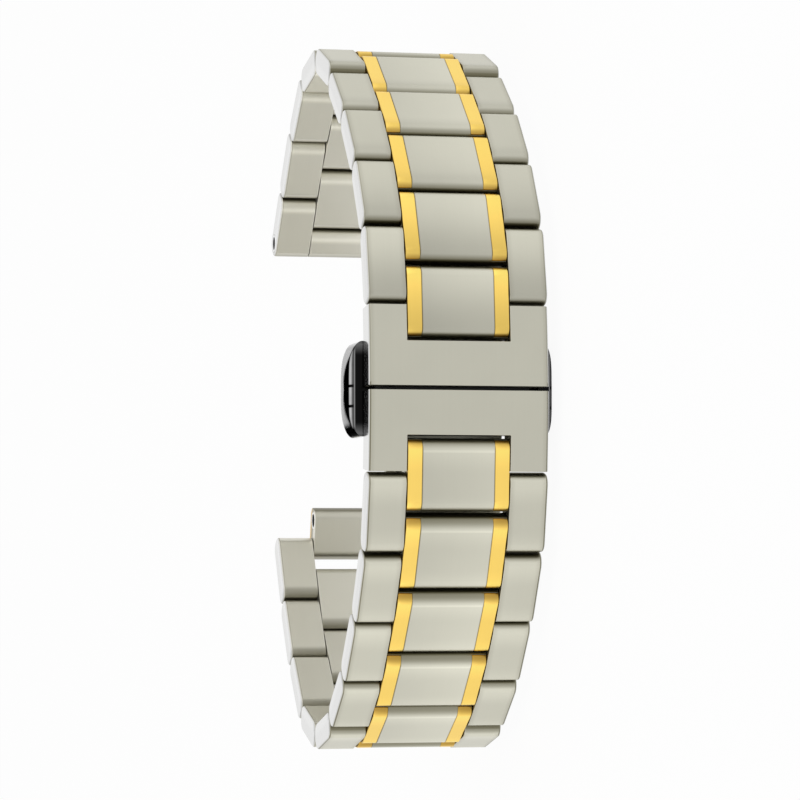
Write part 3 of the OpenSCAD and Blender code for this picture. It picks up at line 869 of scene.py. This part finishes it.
def link_piece(name, tree, values, matrix, body, node):
    """A piece of a link: bevelled, marked for its finish and set on its body."""
    piece = grown_piece(name, tree, values)
    add_bevel(piece, sizes().side_edge)
    plain_mesh(piece)
    mark_ends(piece, matrix, values["Length"])
    set_on(piece, body, node)


class BAND_OT_outer_pairs(bpy.types.Operator):
    """Build the outer link pairs of both halves"""

    bl_idname = "bracelet.outer_pairs"
    bl_label = "Outer pairs"

    def execute(self, context):
        make_finishes()
        tree = outer_pair_tree()
        length = link_length()
        for half in HALVES:
            for number in range(1, PAIRS + 1):
                name = f"{half}_outer_{number}"
                matrix = outer_matrix(half, number)
                values = link_values(matrix, length, FINISHES["link"])
                if number == PAIRS and half == "a":
                    values["Hole Radius"] = sizes().tube_radius
                    values["Hole Place"] = length / 2 - sizes().bar_inset
                elif number == PAIRS:
                    values["Second Pin"] = (matrix.inverted() @ HINGES["b_center_10_hinge"]).x
                link_piece(f"{name}_pair", tree, values, matrix, f"{name}_link", name)
        return {"FINISHED"}


def centre_pieces(trees, name, body, matrix, length, bores):
    """A centre link's steel body and gold strips."""
    body_tree, strip_tree = trees
    values = link_values(matrix, length, FINISHES["link"]) | bores
    link_piece(f"{name}_body", body_tree, values, matrix, body, name)
    values["Material"] = FINISHES["gold"]
    link_piece(f"{name}_strips", strip_tree, values, matrix, body, name)


class BAND_OT_centre_links(bpy.types.Operator):
    """Build the centre links with their gold strips, and the filler and end link at the watch"""

    bl_idname = "bracelet.centre_links"
    bl_label = "Centre links"

    def execute(self, context):
        make_finishes()
        trees = (centre_tree(False), centre_tree(True))
        for half in HALVES:
            for number in range(1, PAIRS + 1):
                self.chain_link(trees, half, number)
        self.filler(trees)
        self.end_link(trees)
        return {"FINISHED"}

    def chain_link(self, trees, half, number):
        """A centre link between two pins; the first one is cut short at the clasp."""
        name = f"{half}_center_{number}"
        step = sizes().pin_step
        cut = sizes().first_cut if number == 1 else 0.0
        pin, towards = chain_pin(half, "center", number), chain_pin(half, "outer", number)
        matrix = link_matrix(half, pin, towards, (step + cut) / 2)
        bores = {"First Bore": -(step + cut) / 2, "Second Bore": (step - cut) / 2}
        centre_pieces(trees, name, f"{name}_link", matrix, link_length() - cut, bores)

    def filler(self, trees):
        """The half link that ends level with the last outer pair of the upper half, bored for its tube."""
        length = (link_length() - sizes().link_gap) / 2
        matrix = outer_matrix("a", PAIRS) @ Matrix.Translation(((link_length() - length) / 2, 0, 0))
        bar, radius = length / 2 - sizes().bar_inset, sizes().tube_radius
        bores = {"Bore Radius": radius, "Second Radius": radius, "First Bore": bar, "Second Bore": bar}
        centre_pieces(trees, "a_end_filler", "a_outer_9_link", matrix, length, bores)

    def end_link(self, trees):
        """The short link past the last outer pair of the lower half, on its pin and bored for its tube."""
        length = sizes().end_link
        shift = sizes().end_reach - length / 2
        matrix = link_matrix("b", HINGES["b_center_10_hinge"], MOUNTS["b_spring_bar_bore"], shift)
        bores = {
            "First Bore": -shift,
            "Second Radius": sizes().tube_radius,
            "Second Bore": length / 2 - sizes().bar_inset,
        }
        centre_pieces(trees, "b_center_10", "b_center_10_link", matrix, length, bores)


# Clasp


class BAND_OT_covers(bpy.types.Operator):
    """Build the two clasp covers"""

    bl_idname = "bracelet.covers"
    bl_label = "Clasp covers"

    def execute(self, context):
        make_finishes()
        for half in HALVES:
            piece = softened(f"{half}_cover", f"{half}_cover_plate", 0.14 * MM, FINISHES["clasp"], 3)
            set_on(piece, f"{half}_cover_body", f"{half}_cover")
        return {"FINISHED"}


def closed_grid(points, floor):
    """A closed mesh over a grid of points, with straight walls down to a floor."""
    rows, columns = points.shape[:2]
    base = points.copy()
    base[:, :, 2] = floor
    count = rows * columns
    faces = []
    for row in range(rows - 1):
        for first in range(row * columns, (row + 1) * columns - 1):
            top = (first, first + columns, first + columns + 1, first + 1)
            faces += [top, tuple(count + corner for corner in reversed(top))]
    rim = list(range(columns)) + [(row + 1) * columns - 1 for row in range(1, rows)]
    rim += [(rows - 1) * columns + column for column in range(columns - 2, -1, -1)]
    rim += [row * columns for row in range(rows - 2, 0, -1)]
    for first, second in zip(rim, rim[1:] + rim[:1]):
        faces.append((first, second, count + second, count + first))
    return np.concatenate((points.reshape(-1, 3), base.reshape(-1, 3))), faces


def shaped(name, points, faces, material):
    """A smooth piece from points and faces, with its faces turned outwards."""
    mesh = bpy.data.meshes.new(name)
    mesh.from_pydata([tuple(point) for point in points], [], faces)
    shell = bmesh.new()
    shell.from_mesh(mesh)
    bmesh.ops.recalc_face_normals(shell, faces=shell.faces)
    for face in shell.faces:
        face.smooth = True
    shell.to_mesh(mesh)
    shell.free()
    mesh.materials.append(material)
    return new_piece(name, mesh)


def rounded_off(distance, reach, drop):
    """How far a surface falls near an edge: a quarter ellipse over reach, down by drop at the edge."""
    return drop * (1 - np.sqrt(1 - (1 - np.minimum(distance / reach, 1.0)) ** 2))


def crown_height(turn, behind):
    """A crown's height: half an ellipse in plan met by a low arc in side view, rounded at front and back."""
    values = sizes()
    blur = 0.12 * MM
    front_reach, front_drop, back_reach = 0.8 * MM, 0.33 * MM, 0.3 * MM
    by_plan = values.button_rise * np.sin(turn)
    arc = np.sqrt(values.crown_radius**2 - (behind - values.crown_crest) ** 2)
    by_side = values.button_rise - values.crown_radius + arc
    by_side = by_side - rounded_off(behind, front_reach, front_drop)
    by_side = by_side - rounded_off(values.button_width - behind, back_reach, back_reach)
    height = -blur * np.log((np.exp(-by_plan / blur) + np.exp(-by_side / blur)) / 2)
    return np.minimum(height, values.button_rise - HAIR)


def crown_piece(name, node, is_up):
    """The crown of a button, on a grid that is finer towards its edges."""
    low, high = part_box(node)
    values = sizes()
    way = 1 if is_up else -1
    turn = np.linspace(0.0, math.pi, 73)[:, None]
    along = -np.cos(turn) * values.button_length / 2
    behind = (1 - np.cos(np.linspace(0.0, math.pi, 49)))[None, :] * values.button_width / 2
    reach = way * ((high.z if is_up else low.z) - MIDDLE) - values.button_rise
    grid = np.stack(np.broadcast_arrays(along, behind, reach + crown_height(turn, behind)), axis=2)
    points, faces = closed_grid(grid, reach - values.crown_root)
    place = ((low.x + high.x) / 2, high.y - values.button_width, MIDDLE)
    placed = points * (1, 1, way) + place
    piece = shaped(name, placed, faces, FINISHES["button"])
    piece.data.set_sharp_from_angle(angle=math.radians(40))
    write_vectors(piece.data, CROWN, (placed - place) / MM)
    return piece


def keep_inside(piece, reach, is_up):
    """Cuts off what lies further out than reach from the middle, and closes the cut."""
    shell = bmesh.new()
    shell.from_mesh(piece.data)
    way = 1 if is_up else -1
    everything = list(shell.verts) + list(shell.edges) + list(shell.faces)
    cut = bmesh.ops.bisect_plane(
        shell, geom=everything, plane_co=(0, 0, MIDDLE + way * reach), plane_no=(0, 0, way), clear_outer=True
    )
    edges = [each for each in cut["geom_cut"] if isinstance(each, bmesh.types.BMEdge)]
    bmesh.ops.holes_fill(shell, edges=edges)
    bmesh.ops.recalc_face_normals(shell, faces=shell.faces)
    shell.to_mesh(piece.data)
    shell.free()


class BAND_OT_buttons(bpy.types.Operator):
    """Build the two push buttons with their sliders"""

    bl_idname = "bracelet.buttons"
    bl_label = "Push buttons"

    def execute(self, context):
        make_finishes()
        for side in ("left", "right"):
            node, is_up = f"pusher_{side}", side == "left"
            crown = crown_piece(f"push_button_{side}", node, is_up)
            set_on(crown, f"button_{side}", node)
            slider = softened(node, f"push_slider_{side}", 0.1 * MM, FINISHES["slider"])
            keep_inside(slider, sizes().crown_cut, is_up)
            set_on(slider, f"button_{side}", node)
        return {"FINISHED"}


# Each hidden part: its solid, body, edge rounding in millimetres, finish and material slot
HIDDEN_PARTS = (
    ("base_plate", "base", 0.2, "clasp", "steel"),
    # The latch housing is nearly black: painted shade in the gap between the covers
    ("latch_housing", "base", 0.1, "dark", "steel"),
    ("a_blade", "a_blade_body", 0.15, "clasp", "steel"),
    ("b_blade", "b_blade_body", 0.15, "clasp", "steel"),
    ("a_latch_hooks", "a_cover_body", 0.08, "bright", "polished_steel"),
    ("b_latch_hooks", "b_cover_body", 0.08, "bright", "polished_steel"),
    ("a_base_pin", "base", 0.08, "bright", "polished_steel"),
    ("b_base_pin", "base", 0.08, "bright", "polished_steel"),
    ("a_tip_pin", "a_cover_body", 0.08, "bright", "polished_steel"),
    ("b_tip_pin", "b_cover_body", 0.08, "bright", "polished_steel"),
    ("a_end_tube", "a_outer_9_link", 0.06, "bright", "steel"),
    ("b_end_tube", "b_center_10_link", 0.06, "bright", "steel"),
)


class BAND_OT_clasp_inside(bpy.types.Operator):
    """Build the base plate, the latch, the blades, the pins and the spring bar tubes"""

    bl_idname = "bracelet.clasp_inside"
    bl_label = "Clasp inside"

    def execute(self, context):
        make_finishes()
        for node, body, width, finish, slot in HIDDEN_PARTS:
            piece = softened(node, f"{node}_piece", width * MM, FINISHES[finish])
            set_on(piece, body, node)
        return {"FINISHED"}


def slide_travel(name):
    """How far a button's slide goes."""
    joint = next(each for each in frame["joints"] if each["name"] == name)
    return abs(joint["range_m"][1])


class BAND_OT_springs(bpy.types.Operator):
    """Build the return springs of the buttons as round wire"""

    bl_idname = "bracelet.springs"
    bl_label = "Return springs"

    def execute(self, context):
        make_finishes()
        tree = coil_tree()
        wire = sizes().wire_radius
        for side in ("left", "right"):
            node, slide, is_up = f"spring_{side}", f"button_{side}_slide", side == "left"
            low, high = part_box(node)
            foot = low.z if is_up else high.z
            values = {
                "Turns": sizes().spring_turns,
                "Coil Radius": (high.x - low.x) / 2 - wire,
                "Height": high.z - low.z - 2 * wire,
                "Wire Radius": wire,
                "Place": ((low.x + high.x) / 2, (low.y + high.y) / 2, foot + (wire if is_up else -wire)),
                "Turn": (0.0, 0.0 if is_up else math.pi, 0.0),
                "Material": FINISHES["bright"],
            }
            piece = plain_mesh(grown_piece(f"return_spring_{side}", tree, values))
            set_on(piece, "base", node)
            keep = 1 - slide_travel(slide) / (high.z - low.z)
            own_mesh(piece)
        return {"FINISHED"}


# Stage

FLOOR_SIZE = 4.0

# Each lamp: name, place and side in metres, and power in watts
SOFTBOXES = (
    ("front_softbox", (0.1, -0.6, 0.5), 1.3, 0.54),
    ("upper_softbox", (0.55, -0.3, 0.25), 0.85, 0.8),
    ("lower_softbox", (-0.55, -0.3, 0.25), 0.85, 0.8),
)

CAMERA_LENS = 164.468
CAMERA_SHIFT = (-0.0381, -0.01686)
CAMERA_PLACE = Vector((-23.1771, -414.3269, 101.6737)) * MM
CAMERA_AHEAD = Vector((0.057468, 0.973869, -0.21972))
CAMERA_RIGHT = Vector((-0.002296, -0.219954, -0.975508))


def empty_sheet(owner):
    """The sheet of a material or world, with its nodes cleared."""
    owner.use_nodes = True
    owner.node_tree.nodes.clear()
    return Sheet(owner.node_tree)


def seen_white(sheet):
    """1 for rays that see the background directly or in the metal."""
    rays = sheet.add("ShaderNodeLightPath", None, None, "Is Camera Ray")
    return rays.most(rays.output("Is Glossy Ray")).most(rays.output("Is Transmission Ray"))


class BAND_OT_stage(bpy.types.Operator):
    """Set up the floor, the lamps, the world and the camera"""

    bl_idname = "bracelet.stage"
    bl_label = "Stage"

    def execute(self, context):
        context.scene.view_settings.view_transform = "Standard"
        self.add_floor(context)
        self.light_world(context.scene)
        for name, place, size, power in SOFTBOXES:
            self.add_lamp(context.scene, name, Vector(place), size, power)
        self.add_camera(context.scene)
        return {"FINISHED"}

    def add_floor(self, context):
        bpy.ops.mesh.primitive_plane_add(size=FLOOR_SIZE)
        floor = context.object
        floor.name = "floor"
        surface = bpy.data.materials.new("floor_white")
        sheet = empty_sheet(surface)
        paper = sheet.add("ShaderNodeBsdfDiffuse", None, {"Color": grey(0.9)})
        white = sheet.add("ShaderNodeEmission", None, {"Color": grey(1.0), "Strength": 1.0})
        mixed = sheet.add("ShaderNodeMixShader", None, {0: seen_white(sheet) * 0.93, 1: paper, 2: white})
        sheet.add("ShaderNodeOutputMaterial", None, {"Surface": mixed})
        floor.data.materials.append(surface)

    def light_world(self, scene):
        scene.world = scene.world or bpy.data.worlds.new("studio")
        sheet = empty_sheet(scene.world)
        colour = sheet.blend(seen_white(sheet), grey(0.8), grey(1.0))
        light = sheet.add("ShaderNodeBackground", None, {"Color": colour, "Strength": 1.0})
        sheet.add("ShaderNodeOutputWorld", None, {"Surface": light})

    def add_lamp(self, scene, name, place, size, power):
        """A square lamp that faces the bracelet."""
        lamp = bpy.data.lights.new(name, "AREA")
        lamp.size = size
        lamp.energy = power
        holder = bpy.data.objects.new(name, lamp)
        scene.collection.objects.link(holder)
        holder.location = place
        holder.rotation_euler = (Vector((0, 0, MIDDLE)) - place).to_track_quat("-Z", "Y").to_euler()

    def add_camera(self, scene):
        camera = bpy.data.cameras.new("camera")
        camera.lens = CAMERA_LENS
        camera.sensor_width = 36.0
        camera.shift_x, camera.shift_y = CAMERA_SHIFT
        camera.clip_start = 0.01
        holder = bpy.data.objects.new("camera", camera)
        scene.collection.objects.link(holder)
        ahead = CAMERA_AHEAD.normalized()
        right = CAMERA_RIGHT.normalized()
        matrix = Matrix((right, right.cross(ahead).normalized(), -ahead)).transposed().to_4x4()
        matrix.translation = CAMERA_PLACE
        holder.matrix_world = matrix
        scene.camera = holder


OPERATORS = (
    BAND_OT_outer_pairs,
    BAND_OT_centre_links,
    BAND_OT_covers,
    BAND_OT_buttons,
    BAND_OT_clasp_inside,
    BAND_OT_springs,
    BAND_OT_stage,
)


class BAND_PT_pieces(bpy.types.Panel):
    """Shows the sizes and colours, and lists the operators that build the bracelet"""

    bl_idname = "BAND_PT_pieces"
    bl_label = "Bracelet"
    bl_space_type = "VIEW_3D"
    bl_region_type = "UI"
    bl_category = "Bracelet"

    def draw(self, context):
        for group in (context.scene.band_sizes, context.scene.band_look):
            for name in group.bl_rna.properties.keys():
                if name not in ("rna_type", "name"):
                    self.layout.prop(group, name)
        for operator in OPERATORS:
            self.layout.operator(operator.bl_idname)


CLASSES = (BandSizes, BandLook) + OPERATORS + (BAND_PT_pieces,)


def register():
    for each in CLASSES:
        bpy.utils.register_class(each)
    bpy.types.Scene.band_sizes = bpy.props.PointerProperty(type=BandSizes)
    bpy.types.Scene.band_look = bpy.props.PointerProperty(type=BandLook)


def unregister():
    del bpy.types.Scene.band_look
    del bpy.types.Scene.band_sizes
    for each in reversed(CLASSES):
        bpy.utils.unregister_class(each)


def main():
    register()
    for operator in OPERATORS:
        getattr(bpy.ops.bracelet, operator.bl_idname.split(".")[1])()


if __name__ == "__main__":
    main()
